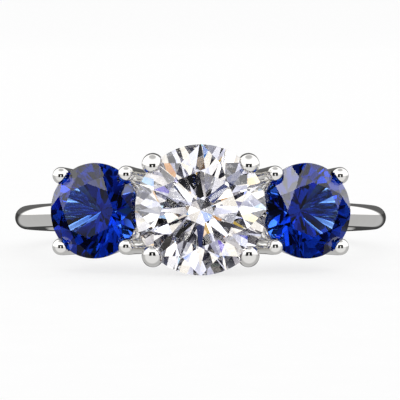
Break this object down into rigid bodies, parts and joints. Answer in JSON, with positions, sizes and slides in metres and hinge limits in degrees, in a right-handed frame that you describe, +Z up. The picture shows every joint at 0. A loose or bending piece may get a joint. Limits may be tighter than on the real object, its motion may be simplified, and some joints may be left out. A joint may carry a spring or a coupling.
{
  "type": "three stone ring",
  "caption": "Slim domed white metal ring with a round white centre stone between two round deep blue stones, each in a four-prong basket, lying on its side.",
  "frame": {"origin": "middle of the ring's footprint on the surface that it lies on", "axes": "+Z up, -Y the way the stones face, +X to the right as the stones are seen from the front"},
  "size_m": [0.0204, 0.0244, 0.0065],
  "materials": {
    "white_gold": "mirror-polished white gold",
    "diamond": "colourless faceted diamond",
    "sapphire": "deep blue faceted sapphire"
  },
  "bodies": {
    "root": {"band_and_setting": "white_gold", "centre_stone": "diamond", "left_stone": "sapphire", "right_stone": "sapphire"}
  },
  "joints": []
}
